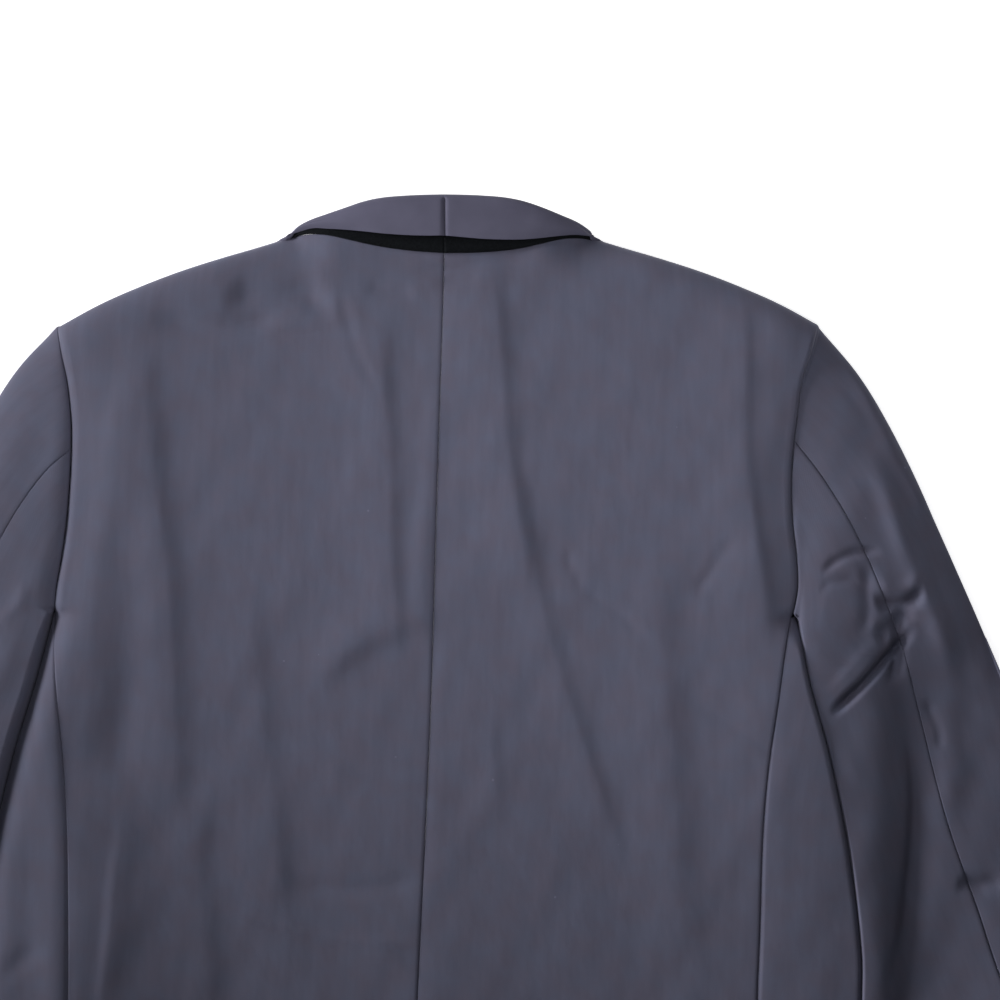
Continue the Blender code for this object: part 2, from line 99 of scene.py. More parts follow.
# Each crease's crest runs through three points. columns: steps across and down three times, reach to
# its left or upper side, reach to its right or lower side, height (a trough is less than nothing)
BACK_CREASES = (
    (140, 335, 114, 500, 92, 700, 18, 34, 1.6),
    (129, 500, 131, 610, 124, 780, 22, 20, -1.7),
    (139, 335, 163, 530, 178, 810, 38, 14, 2.2),
    (54, 690, 57, 860, 58, 1080, 20, 10, 1.5),
    (56, 560, 24, 820, 8, 1100, 60, 110, 6.5),
    (248, 600, 263, 730, 286, 930, 44, 15, 1.4),
    (380, 330, 388, 470, 395, 640, 38, 11, 2.0),
    (441, 380, 429, 490, 423, 640, 14, 10, 1.0),
    (492, 270, 502, 400, 527, 590, 46, 11, 2.1),
    (515, 480, 547, 625, 618, 850, 30, 10, 1.2),
    (489, 725, 493, 770, 497, 820, 18, 9, 0.6),
    (582, 590, 612, 608, 643, 636, 5, 5, -0.6),
    (696, 592, 712, 568, 730, 540, 6, 6, -0.7),
    (566, 552, 574, 570, 582, 590, 6, 5, -0.6),
    (658, 555, 664, 720, 684, 960, 36, 19, 1.7),
    (758, 540, 764, 680, 774, 870, 48, 26, 1.0),
    (743, 310, 744, 470, 767, 625, 34, 9, 1.7),
    (342, 292, 352, 335, 374, 386, 6, 6, -0.7),
    (160, 322, 215, 327, 280, 318, 12, 12, -2.4),
    (127, 805, 117, 890, 103, 1020, 7, 15, 1.0),
    (220, 901, 300, 929, 425, 938, 3.5, 3.5, 0.6),
    (366, 943, 395, 958, 422, 977, 3.5, 3.5, 0.5),
    (290, 742, 350, 765, 430, 782, 6, 6, 0.4),
    (316, 674, 378, 630, 434, 610, 26, 15, 2.0),
    (300, 882, 355, 886, 412, 880, 9, 9, -0.9),
    (694, 706, 735, 728, 778, 756, 5, 5, -0.6),
    (412, 274, 460, 269, 530, 254, 5, 4, -1.3),
    (370, 290, 392, 293, 415, 296, 7, 6, -1.0),
    (434, 287, 455, 283, 476, 279, 7, 6, -1.0),
    (268, 336, 307, 334, 349, 336, 5, 4, -1.0),
    (230, 300, 275, 294, 330, 304, 16, 14, -4.0),
    (4, 976, 22, 960, 42, 942, 9, 9, -1.1),
    (262, 1080, 274, 1260, 268, 1460, 30, 22, 2.0),
    (538, 1010, 566, 1240, 584, 1465, 28, 32, -2.4),
    (678, 990, 692, 1160, 712, 1380, 34, 20, 1.8),
    (392, 1080, 368, 1240, 376, 1430, 24, 30, 1.4),
    (140, 1150, 124, 1280, 112, 1440, 28, 20, 1.5),
    (345, 1140, 408, 1166, 470, 1158, 7, 7, 0.7),
)


def placed(creases, ease=1.0):
    """Creases given in steps, in millimetres from the nape, with their heights eased."""
    rows = []
    for *crest, before, after, height in creases:
        across = [round((x - NAPE_STEP[0]) * STEP) for x in crest[0::2]]
        down = [round((NAPE_STEP[1] - y) * STEP) for y in crest[1::2]]
        points = [value for point in zip(across, down) for value in point]
        rows.append((*points, round(before * STEP, 1), round(after * STEP, 1), round(height * ease, 2)))
    return rows


# The crease after BACK_CREASES keeps its full height. The last two are in millimetres from the nape.
BACK_FOLDS = (
    *placed(BACK_CREASES, BACK_EASE),
    *placed([(196, 800, 202, 900, 212, 1010, 30, 16, 1.2)]),
    (-232, -330, -226, -410, -221, -500, 20, 70, 3.6),
    (226, -240, 230, -400, 232, -520, 70, 30, 2.6),
)
# The cloth's own unevenness. columns: waves in a metre across and down, turn, height
RIPPLES = (
    (11, 4, 0.4, 0.15), (-17, 13, 2.1, 0.10), (9, 23, 4.0, 0.10), (29, -18, 1.2, 0.06),
    (21, 31, 5.3, 0.05), (-39, 9, 3.3, 0.035), (43, 40, 0.9, 0.03),
)
WOOL_WARM = (0.0838, 0.0803, 0.1185)
WOOL_COOL = (0.0808, 0.0852, 0.1295)


def mix(a, b, part):
    return a + (b - a) * part


def smooth(value):
    value = np.clip(value, 0, 1)
    return value**2 * (3 - 2 * value)


def curve(table, at, column=1):
    """A table's column where its first column is `at`, on a smooth curve through the rows."""
    rows = np.array(sorted(table), float)
    x, y = rows[:, 0], rows[:, column]
    slope = np.empty_like(y)
    slope[1:-1] = (y[2:] - y[:-2]) / (x[2:] - x[:-2])
    slope[0], slope[-1] = (y[1] - y[0]) / (x[1] - x[0]), (y[-1] - y[-2]) / (x[-1] - x[-2])
    at = np.clip(np.asarray(at, float), x[0], x[-1])
    k = np.clip(np.searchsorted(x, at, side="right") - 1, 0, len(x) - 2)
    span = x[k + 1] - x[k]
    t = (at - x[k]) / span
    steady = (2 * t**3 - 3 * t**2 + 1) * y[k] + (3 * t**2 - 2 * t**3) * y[k + 1]
    return steady + span * ((t**3 - 2 * t**2 + t) * slope[k] + (t**3 - t**2) * slope[k + 1])


def of_side(table, at, side):
    return curve(table, at, 1 if side == LEFT else 2)


def centre_x(y):
    return curve(CENTRE_BACK, y)


def neck_y(x, side):
    return of_side(NECK, np.abs(x - centre_x(0)), side)


def quarter(distance, reach):
    """Cosine and sine of the angle round a quarter ellipse at this distance from its end."""
    cosine = 1 - np.clip(distance / reach, 0, 1)
    return cosine, np.sqrt(1 - cosine**2)


def shoulder(distance, reach, square):
    """A rise from an edge: a quarter ellipse for 2, steeper at the edge and more level after over it."""
    return (1 - (1 - np.clip(distance / reach, 0, 1)) ** square) ** (1 / square)


def from_edge(x, y):
    """How far a point of the plan lies inside the edge of the flattened body."""
    out = np.abs(x)
    down = (curve(SHOULDER, np.maximum(out, NECK_POINT)) - y) * SLOPE
    nearest = np.where(out >= NECK_POINT, down, np.hypot(NECK_POINT - out, down))
    for side in (LEFT, RIGHT):
        arm = UNDERARM[side]
        across = side * (of_side(BODY_EDGE, y, side) - x)
        nearest = np.minimum(nearest, across + 3 * np.maximum(y - arm, 0))
    return nearest


def folds(x, y, table):
    """The height that a table of folds gives each point of the plan."""
    total = np.zeros_like(x)
    for x0, y0, xm, ym, x1, y1, before, after, height in table:
        length = math.hypot(x1 - x0, y1 - y0)
        ux, uy = (x1 - x0) / length, (y1 - y0) / length
        t = ((x - x0) * ux + (y - y0) * uy) / length
        # Across runs to the right of a fold that goes down, and down from one that goes right.
        across = (y - y0) * ux - (x - x0) * uy
        turn = -1 if abs(ux) > abs(uy) else 1
        tm = ((xm - x0) * ux + (ym - y0) * uy) / length
        bow = ((ym - y0) * ux - (xm - x0) * uy) / (tm * (1 - tm))
        held = np.clip(t, -0.1, 1.1)
        across = (across - bow * held * (1 - held)) * turn
        across = across / np.sqrt(1 + (bow * (1 - 2 * held) / length) ** 2)
        # No crease keeps to its line or its height all the way.
        across = across + 0.10 * min(before, after) * np.sin(11 * t + x0)
        u = across / np.where(across < 0, before, after)
        ends = smooth((t + 0.10) / 0.30) * smooth((1.10 - t) / 0.30)
        total += height * (1 + 0.18 * np.sin(8 * t + y0)) * ends * np.exp(-(u**2))
    return total


def ripples(x, y):
    total = np.zeros_like(x)
    for across, down, turn, height in RIPPLES:
        phase = 2 * math.pi * (across * x + down * y) / 1000 + turn
        total += height * np.sin(phase + 0.7 * np.sin(phase * 0.37 + 2 * turn))
    return total


def seam_line(distance, right_of_it, depth=0.7):
    """A stitched seam: the cloth on its left rolls into it sharply, and on its right rises out slowly."""
    return -depth * np.where(right_of_it, np.exp(-np.abs(distance) / 5.0), np.exp(-((distance / 0.8) ** 2)))


# How far the body dips along its armhole seams, how far in that reaches, and where it fades out below
# the armhole.
SUNK = {LEFT: 3.0, RIGHT: 2.4}
SUNK_WIDTH = 14
SUNK_BELOW, SUNK_FADE = 25, 40
# How deep and how wide the groove of the seam itself is, and over what length it ends under the arm.
ARMHOLE_GROOVE = {LEFT: 5.5, RIGHT: 2.2}
GROOVE_WIDTH = {LEFT: 1.7, RIGHT: 1.1}
ARMHOLE_FADE = 3
# How much higher the body's edge lies where a sleeve is against it, over what length that comes on
# below the armhole, and where and over what length it ends, where the sleeve has left the body.
PUSHED_UP = {LEFT: 5, RIGHT: 13}
PUSH_STARTS = {LEFT: 50, RIGHT: 12}
PUSH_ENDS, PUSH_FADE = -520, 50
# The body rises from its edge over RISE, this squarely: see shoulder(). Where the right sleeve is pushed
# against it, it rises over a narrow roll instead, which comes on over ROLL_STARTS below the armhole. Beside
# the collar, within about NECK_REACH of the neck point, it rises over a longer and rounder one.
SQUARE = 3.2
PUSHED_ROLL, PUSHED_SQUARE, ROLL_STARTS = 3.6, 2.2, 20
NECK_RISE, NECK_SQUARE, NECK_REACH = 62, 2.1, 32
NECK_POINT_Y = 10


def beside_sleeve(y):
    """One down to where the sleeves have left the body, and nothing below."""
    return smooth((y - PUSH_ENDS) / PUSH_FADE)


def edge_z(y, side):
    """Height of the body's edge. Where a sleeve lies against it, it can't sink as low."""
    below_arm = smooth((UNDERARM[side] - y) / PUSH_STARTS[side])
    return EDGE_HEIGHT + PUSHED_UP[side] * below_arm * beside_sleeve(y)


def body_top(x, y):
    """Height of the back and of the side panels' upper half."""
    # Beside the collar the shoulder falls away more slowly.
    by_neck = np.exp(-((np.abs(x) - NECK_POINT) ** 2 + (y - NECK_POINT_Y) ** 2) / NECK_REACH**2)
    pushed = np.where(x < 0, 0, smooth((UNDERARM[RIGHT] - y) / ROLL_STARTS) * beside_sleeve(y))
    reach = mix(mix(RISE, PUSHED_ROLL, pushed), NECK_RISE, by_neck)
    square = mix(mix(SQUARE, PUSHED_SQUARE, pushed), NECK_SQUARE, by_neck)
    sine = shoulder(np.maximum(from_edge(x, y) - SEAM, 0), reach, square)
    low = np.where(x < 0, edge_z(y, LEFT), edge_z(y, RIGHT))
    height = low + (curve(CROWN, y) - low) * sine
    height = height + (folds(x, y, BACK_FOLDS) + ripples(x, y)) * sine**2
    for side in (LEFT, RIGHT):
        arm = UNDERARM[side]
        inside = np.maximum(side * (of_side(SIDE_SEAM, y, side) - x), 0)
        sunk = SUNK[side] * np.exp(-((inside / SUNK_WIDTH) ** 2)) * smooth((y - arm + SUNK_BELOW) / SUNK_FADE)
        groove = ARMHOLE_GROOVE[side] * np.exp(-((inside / GROOVE_WIDTH[side]) ** 2))
        height = height - (sunk + groove * smooth((y - arm) / ARMHOLE_FADE)) * sine
    return height


def patch(top, bottom, left, right, p, q):
    """Points of the surface that four curves of the plan bound."""
    p, q = p[..., None], q[..., None]
    corners = mix(mix(left[:1], right[:1], p), mix(left[-1:], right[-1:], p), q)
    return mix(top[None], bottom[None], q) + mix(left[:, None], right[:, None], p) - corners


# How far from a seam the mesh is close.
SEAM_REACH = 6.0


def near_ends(count, length):
    """Parts of a length that stand close together at both ends, where the seams are."""
    near = np.array((0, 0.25, 0.55, 1.0)) ** 1.2 * SEAM_REACH
    middle = np.linspace(SEAM_REACH, length - SEAM_REACH, count)[1:-1]
    return np.concatenate((near, middle, length - near[::-1])) / length


def shell(name, columns, rows, place, thickness, finish, up_first=True):
    """A sheet of cloth: a flat grid whose points go where place(across, along) says, given its wall.

    Its UV map is in metres along its rows and down its columns, so that the weave follows the cut.
    """
    bm = bmesh.new()
    bm.loops.layers.uv.new("weave")
    bmesh.ops.create_grid(bm, x_segments=len(columns) - 1, y_segments=len(rows) - 1, size=0.5)
    mesh = bpy.data.meshes.new(name)
    bm.to_mesh(mesh)
    bm.free()
    points = (place(*np.meshgrid(columns, rows)) + NAPE) / 1000
    mesh.vertices.foreach_set("co", points.ravel())
    width = np.cumsum(np.linalg.norm(np.diff(points, axis=1), axis=2), axis=1)
    length = np.cumsum(np.linalg.norm(np.diff(points, axis=0), axis=2).mean(axis=1))
    weave = np.zeros((*points.shape[:2], 2))
    weave[:, 1:, 0] = width
    weave[1:, :, 1] = length[:, None]
    corner = np.empty(len(mesh.loops), np.int32)
    mesh.loops.foreach_get("vertex_index", corner)
    mesh.uv_layers["weave"].uv.foreach_set("vector", weave.reshape(-1, 2)[corner].ravel())
    mesh.update()
    if (mesh.polygons[0].normal.z > 0) != up_first:
        mesh.flip_normals()
    mesh.shade_smooth()
    mesh.materials.append(finish)
    obj = bpy.data.objects.new(name, mesh)
    bpy.context.scene.collection.objects.link(obj)
    wall = obj.modifiers.new("wall", "SOLIDIFY")
    wall.thickness = thickness / 1000
    wall.offset = -1
    return obj


def finish_nodes(name):
    made = bpy.data.materials.new(name)
    made.use_nodes = True
    nodes, links = made.node_tree.nodes, made.node_tree.links

    def add(kind, **values):
        node = nodes.new(kind)
        for key, value in values.items():
            if key in node.inputs:
                node.inputs[key].default_value = value
            else:
                setattr(node, key, value)
        return node

    return made, nodes["Principled BSDF"], add, links.new


def worsted(name):
    """Fine worsted: a close weave of thin threads, faint slubs down the grain, a soft even nap."""
    made, shader, add, link = finish_nodes(name)
    weave = add("ShaderNodeUVMap", uv_map="weave")
    place = add("ShaderNodeTexCoord")
    # Threads of the warp and the weft, 0.7 mm apart.
    warp = add("ShaderNodeTexWave", bands_direction="X", Scale=449)
    weft = add("ShaderNodeTexWave", bands_direction="Y", Scale=449)
    link(weave.outputs["UV"], warp.inputs["Vector"])
    link(weave.outputs["UV"], weft.inputs["Vector"])
    threads = add("ShaderNodeMath", operation="MULTIPLY")
    link(warp.outputs["Fac"], threads.inputs[0])
    link(weft.outputs["Fac"], threads.inputs[1])
    # Slubs: thicker lengths of warp, in the relief.
    along = add("ShaderNodeMapping", Scale=(420, 26, 1))
    link(weave.outputs["UV"], along.inputs["Vector"])
    slub = add("ShaderNodeTexNoise", Scale=1, Detail=2, Roughness=0.6)
    link(along.outputs["Vector"], slub.inputs["Vector"])
    # Bloom: patches where the nap lies a little differently, some bluer and some browner.
    bloom = add("ShaderNodeTexNoise", Scale=62, Detail=4, Roughness=0.6)
    link(place.outputs["Object"], bloom.inputs["Vector"])
    colour = add("ShaderNodeValToRGB")
    low, high = colour.color_ramp.elements
    low.position, high.position = 0.36, 0.64
    low.color, high.color = (*WOOL_WARM, 1), (*WOOL_COOL, 1)
    link(bloom.outputs["Fac"], colour.inputs["Fac"])
    # Faint streaks down the grain, and a few specks of lint.
    streaks = add("ShaderNodeMapping", Scale=(150, 22, 1))
    link(weave.outputs["UV"], streaks.inputs["Vector"])
    streak = add("ShaderNodeTexNoise", Scale=1, Detail=3, Roughness=0.6)
    link(streaks.outputs["Vector"], streak.inputs["Vector"])
    tone = add("ShaderNodeMath", operation="MULTIPLY_ADD")
    tone.inputs[1].default_value, tone.inputs[2].default_value = 0.30, 0.85
    link(streak.outputs["Fac"], tone.inputs[0])
    lint = add("ShaderNodeTexVoronoi", Scale=30)
    link(place.outputs["Object"], lint.inputs["Vector"])
    speck = add("ShaderNodeMath", operation="LESS_THAN")
    speck.inputs[1].default_value = 0.022
    link(lint.outputs["Distance"], speck.inputs[0])
    with_lint = add("ShaderNodeMath", operation="MULTIPLY_ADD")
    with_lint.inputs[1].default_value = 0.45
    link(speck.outputs[0], with_lint.inputs[0])
    link(tone.outputs[0], with_lint.inputs[2])
    shade = add("ShaderNodeVectorMath", operation="SCALE")
    link(colour.outputs["Color"], shade.inputs[0])
    link(with_lint.outputs[0], shade.inputs["Scale"])
    link(shade.outputs[0], shader.inputs["Base Color"])
    relief = add("ShaderNodeMath", operation="MULTIPLY_ADD")
    relief.inputs[1].default_value = 0.5
    link(slub.outputs["Fac"], relief.inputs[0])
    link(threads.outputs[0], relief.inputs[2])
    bump = add("ShaderNodeBump", Strength=0.35, Distance=0.00012)
    link(relief.outputs[0], bump.inputs["Height"])
    link(bump.outputs["Normal"], shader.inputs["Normal"])
    shader.inputs["Roughness"].default_value = 0.82
    shader.inputs["Specular IOR Level"].default_value = 0.25
    shader.inputs["Sheen Weight"].default_value = 0.12
    shader.inputs["Sheen Roughness"].default_value = 0.45
    shader.inputs["Sheen Tint"].default_value = (0.75, 0.77, 1.0, 1)
    return made


wool = worsted("midnight_worsted")
HEM_TURN_UP = 40
BACK_ROWS = near_ends(240, 765.0)
BACK_COLUMNS = near_ends(120, 240.0)


def back_panel(side):
    y = mix(0, HEM, BACK_ROWS)
    centre = np.stack((centre_x(y) + side * SEAM / 2, y), axis=-1)
    y = mix(SHOULDER_POINT, HEM, BACK_ROWS)
    outer = np.stack((of_side(SIDE_SEAM, y, side) - side * SEAM / 2, y), axis=-1)
    x = mix(centre[0, 0], outer[0, 0], BACK_COLUMNS)
    top_y = np.where(np.abs(x) < NECK_POINT, neck_y(x, side), curve(SHOULDER, np.abs(x)) - SEAM / 2)
    top = np.stack((x, top_y), axis=-1)
    hem = np.stack((mix(centre[-1, 0], outer[-1, 0], BACK_COLUMNS), np.full_like(x, HEM)), axis=-1)

    def place(p, q):
        plan = patch(top, hem, centre, outer, p, q)
        x, y = plan[..., 0], plan[..., 1]
        z = body_top(x, y)
        z = z + seam_line(side * (x - centre_x(y)), side == RIGHT)
        under_arm = smooth((UNDERARM[side] - y) / 12)
        z = z + seam_line(side * (of_side(SIDE_SEAM, y, side) - x), side == LEFT) * under_arm
        # The hem is turned up and pressed; its upper edge shows as a faint line.
        z = z - 0.25 * np.exp(-(((y - HEM - HEM_TURN_UP) / 1.6) ** 2)) - 0.5 * np.exp(-((y - HEM) / 3))
        return np.stack((x, y, z), axis=-1)

    return place


for side_name, side in SIDES:
    panel = shell(f"{side_name}_back_panel", BACK_COLUMNS, BACK_ROWS, back_panel(side), WOOL, wool)
    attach(panel, "root")
    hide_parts(f"back_{side_name}")


# ------------------------------------------------------------------------------- The side panels
# One narrow panel of the same cloth under each arm, from the seam beside the back round the edge of
# the flattened body to the seam beside the front. Its edge is a soft fold, not a pressed one.

SIDE_PANEL_TOP = {LEFT: -226.1, RIGHT: -229.1}
SIDE_ROWS = near_ends(140, 534.0)
# columns: part of the way round, from the back's seam, to the edge at 0.5, to the front's seam
SIDE_COLUMNS = np.concatenate((
    np.linspace(0, 0.06, 4), np.linspace(0.06, 0.4, 16)[1:], np.linspace(0.4, 0.6, 13)[1:],
    np.linspace(0.6, 0.94, 8)[1:], np.linspace(0.94, 1, 4)[1:],
))


def side_panel(side):
    def place(p, q):
        y = mix(SIDE_PANEL_TOP[side], HEM, q)
        edge = of_side(BODY_EDGE, y, side)
        width = np.abs(edge - of_side(SIDE_SEAM, y, side)) - SEAM / 2
        part = np.abs(1 - 2 * p)
        inside = width * part ** mix(2.0, 1.25, part)
        x = edge - side * inside
        upper = body_top(x, y) + seam_line(width - inside, side == RIGHT)
        _, sine = quarter(inside, TURN_UNDER)
        lower = edge_z(y, side) * (1 - sine)
        # The two halves meet on the fold at the edge of the body.
        z = np.where(p <= 0.5, upper, lower)
        return np.stack((x, y, z), axis=-1)

    return place


for side_name, side in SIDES:
    panel = shell(f"{side_name}_side_panel", SIDE_COLUMNS, SIDE_ROWS, side_panel(side), WOOL, wool)
    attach(panel, "root")
    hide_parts(f"side_{side_name}")


# -------------------------------------------------------------------------------------- The fronts
# Two panels of the same cloth that the jacket lies on. Each is raised where its lapel lies under it,
# and the right one also where the left one laps under it down to the hem.

# columns: y, how far the front edge stands out from the middle, its roll line above the button
FRONT_EDGE = (
    (-768, 34), (-755, 10), (-735, -6), (-690, -17), (-600, -20), (-440, -18), (-390, -4), (-330, 12.5),
    (-260, 30.7), (-190, 48.8), (-120, 66.8), (-60, 81.5), (-20, 90.5), (10.5, 96),
)
# columns: y of the roll line, width of the lapel across it
LAPEL = (
    (-4, 17), (-16, 28), (-34, 44), (-70, 60), (-120, 70), (-190, 69), (-260, 57), (-330, 39), (-362, 29),
    (-395, 17), (-428, 6),
)
FRONT_TOP = 10.5
FRONT_CORNER = -768
LAPEL_FOLD = 2.6
OVER_LAPEL = 2.0
OVER_LEFT = 5.8
OVER_LEFT_BELOW = 2.0
BUTTON_AT = (0, -466)
BUTTON_ROOM = 3.7
BUTTON_REACH, BUTTON_FADE = 26, 60
FRONT_ROWS = near_ends(120, 765.0)
FRONT_COLUMNS = near_ends(56, 250.0)


def over_left(x, y):
    """How far the right front's pieces are raised by the left front's, which lie under them."""
    above = mix(OVER_LEFT, 0, np.clip((y + 366) / 150, 0, 1))
    below = mix(OVER_LEFT_BELOW, OVER_LEFT, np.clip((y + 530) / 80, 0, 1))
    return np.minimum(above, below) * (1 - np.clip((x - centre_x(y) - 30) / 100, 0, 1))


def over_button(x, y):
    away = np.hypot(x - BUTTON_AT[0] - centre_x(y), y - BUTTON_AT[1])
    return BUTTON_ROOM * (1 - smooth((away - BUTTON_REACH) / BUTTON_FADE))


def front_lift(x, y, side):
    out = side * (x - centre_x(y))
    reach = curve(FRONT_EDGE, y) + curve(LAPEL, y) + 14
    over_lapel = OVER_LAPEL * (1 - smooth((out - reach) / 30)) * smooth((y + 462) / 34)
    return over_lapel + over_button(x, y) + (over_left(x, y) if side == RIGHT else 0)


def front_panel(side):
    y = mix(FRONT_TOP - SEAM / 2, FRONT_CORNER, FRONT_ROWS)
    edge = np.stack((centre_x(y) + side * (curve(FRONT_EDGE, y) + LAPEL_FOLD), y), axis=-1)
    y = mix(SHOULDER_POINT, HEM, FRONT_ROWS)
    outer = np.stack((of_side(SIDE_SEAM, y, side) - side * SEAM / 2, y), axis=-1)
    x = mix(edge[0, 0], outer[0, 0], FRONT_COLUMNS)
    top = np.stack((x, curve(SHOULDER, np.abs(x)) - SEAM / 2), axis=-1)
    x = mix(edge[-1, 0], outer[-1, 0], FRONT_COLUMNS)
    hem = np.stack((x, mix(FRONT_CORNER, HEM, smooth(FRONT_COLUMNS * 3))), axis=-1)

    def place(p, q):
        plan = patch(top, hem, edge, outer, p, q)
        x, y = plan[..., 0], plan[..., 1]
        _, sine = quarter(from_edge(x, y), TURN_UNDER)
        z = EDGE_HEIGHT * (1 - sine) + front_lift(x, y, side) * sine
        return np.stack((x, y, z), axis=-1)

    return place


for side_name, side in SIDES:
    panel = shell(
        f"{side_name}_front_panel", FRONT_COLUMNS, FRONT_ROWS, front_panel(side), WOOL, wool, up_first=False
    )
    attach(panel, "root")
    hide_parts(f"front_{side_name}")


# ------------------------------------------------------------------------------------- The sleeves
# Two-piece sleeves of the same cloth, set into the armholes. The top sleeve runs from the hindarm
# seam on top round the outer edge to the forearm seam underneath; the under sleeve is the rest. They
# lie as flattened tubes, fullest under the sleeve head, and crumple where the elbow bends.

# columns: inner x, y, outer x, y, height, height of the edge, bow, hindarm seam on the top, where the
# section is highest, how round its outer half is
SLEEVE = {
    RIGHT: (
        (226.0, -229, 238.6, -46, 27, 8.0, 11, 0.60, 0.40, 0.9),
        (226.6, -232, 264.6, -78, 27, 8.5, 9, 0.58, 0.38, 0.9),
        (227.6, -236, 290, -122, 28, 9.0, 5, 0.56, 0.30, 0.8),
        (229.2, -244, 315, -176, 28.5, 9.5, 2, 0.55, 0.12, 0.6),
        (234.8, -272, 340, -232.5, 27.5, 9, 0, 0.55, 0.02, 0.35),
        (246.8, -316, 357, -272, 27, 8, 0, 0.52, 0, 0.15),
        (259.2, -378, 380, -331, 27, 8, 0, 0.50, 0, 0.12),
        (269.5, -445, 404, -393, 27, 8, 0, 0.54, 0.06, 0.2),
        (307, -549, 443, -498, 26, 8.0, 0, 0.62, 0.30, 0.7),
        (348, -653, 482, -603, 21, 7.0, 0, 0.70, 0.45, 0.9),
    ),
    LEFT: (
        (244.5, -226, 241.6, -46, 29, 8.0, 11, 0.57, 0.20, 0.9),
        (245.0, -229, 268, -75, 29, 8.5, 9, 0.57, 0.20, 0.8),
        (246.0, -233, 294, -118, 30, 9.0, 5, 0.56, 0.18, 0.7),
        (249.2, -244, 321, -171, 31, 9.5, 2, 0.55, 0.16, 0.6),
        (257.0, -272, 352, -227, 33, 10, 0, 0.54, 0.16, 0.6),
        (270.5, -316, 373, -268, 34, 10, 0, 0.52, 0.18, 0.7),
        (284.8, -378, 401, -325, 34, 10, 0, 0.50, 0.22, 0.8),
        (298, -440, 431, -385, 34, 9.0, 0, 0.54, 0.24, 0.9),
        (347, -546, 480, -487, 28, 8.0, 0, 0.62, 0.38, 1),
        (395, -645, 526, -588, 21, 7.0, 0, 0.70, 0.45, 1),
    ),
}
SLEEVE_SHOULDER = {LEFT: 13.0, RIGHT: 2.6}
SLEEVE_ROLL = {LEFT: 6.5, RIGHT: 2.2}
# How square its section is beside the armhole: 1 is a straight slope.
SLEEVE_SQUARE = {LEFT: 2.0, RIGHT: 3.2}
SLEEVE_EDGE_ROLL = 14.0
# The row of SLEEVE where the inner edge leaves the body.
LEAVES_BODY = 7.3
FOREARM_SEAM = 0.16
# Creases like those of the back. The rows outside placed() are in millimetres from the nape.
SLEEVE_FOLDS = {
    RIGHT: (
        (259, -69, 283, -115, 308, -166, 7, 13, 2.8),
        *placed((
            (874, 462, 901, 535, 952, 664, 12, 13, 2.6),
            (822, 569, 848, 554, 877, 551, 5, 4, -2.0),
            (820, 588, 842, 580, 862, 584, 6, 5, -0.8),
            (864, 562, 865, 592, 863, 630, 7, 6, -1.5),
            (875, 600, 898, 604, 921, 593, 6, 6, -4.4),
            (878, 640, 893, 622, 910, 610, 7, 7, -3.6),
            (877, 582, 898, 588, 918, 580, 7, 6, 1.2),
            (836, 708, 868, 676, 908, 632, 4, 4.5, -9.0),
            (828, 692, 858, 660, 893, 624, 16, 6, 0.7),
            (896, 618, 896, 646, 891, 682, 5, 7, -5.0),
        )),
        (266, -253, 269, -345, 265, -508, 45, 24, 1.0),
        (291, -244, 296, -338, 292, -508, 15, 66, -7.5),
        (297, -310, 298, -352, 284, -455, 4, 13, -4),
        *placed((
            (945, 668, 950, 742, 945, 825, 16, 16, 1.4),
            (925, 700, 935, 722, 942, 748, 5, 5, -1.2),
            (958, 884, 980, 884, 1004, 886, 9, 8, -2.6),
            (978, 1040, 1040, 1130, 1090, 1230, 22, 24, -3.4),
            (945, 1040, 975, 1120, 1020, 1210, 16, 20, 2.8),
            (798, 500, 802, 580, 812, 660, 10, 46, 1.2),
        )),
    ),
    LEFT: placed((
        (25, 420, -12, 520, -40, 640, 16, 18, 1.2),
        (30, 585, 20, 605, 4, 622, 7, 8, 0.8),
        (20, 640, -30, 720, -90, 800, 14, 20, 1.6),
        (-50, 700, -80, 790, -120, 880, 22, 22, -3.0),
        (-90, 740, -130, 830, -180, 930, 20, 20, 2.4),
        (-30, 1000, -70, 1080, -120, 1160, 18, 22, -3.0),
    )),
}
# Counted in rows of SLEEVE, from the armhole at 0 to the cuff at 9: closest together beside the armhole
# and, everywhere else, one to five millimetres apart.
SLEEVE_ROWS = np.concatenate((
    np.linspace(0, 0.12, 5), np.linspace(0.12, 4, 84)[1:], np.linspace(4, 7, 96)[1:],
    np.linspace(7, 8.85, 44)[1:], np.linspace(8.85, 9, 5)[1:],
))
SEAM_ENDS = np.array((0, 0.006, 0.014, 0.03))


def stations(side, at):
    """The table of sections read between its rows, on smooth curves."""
    rows = [(k, *row) for k, row in enumerate(SLEEVE[side])]
    return [curve(rows, at, column) for column in range(1, 11)]


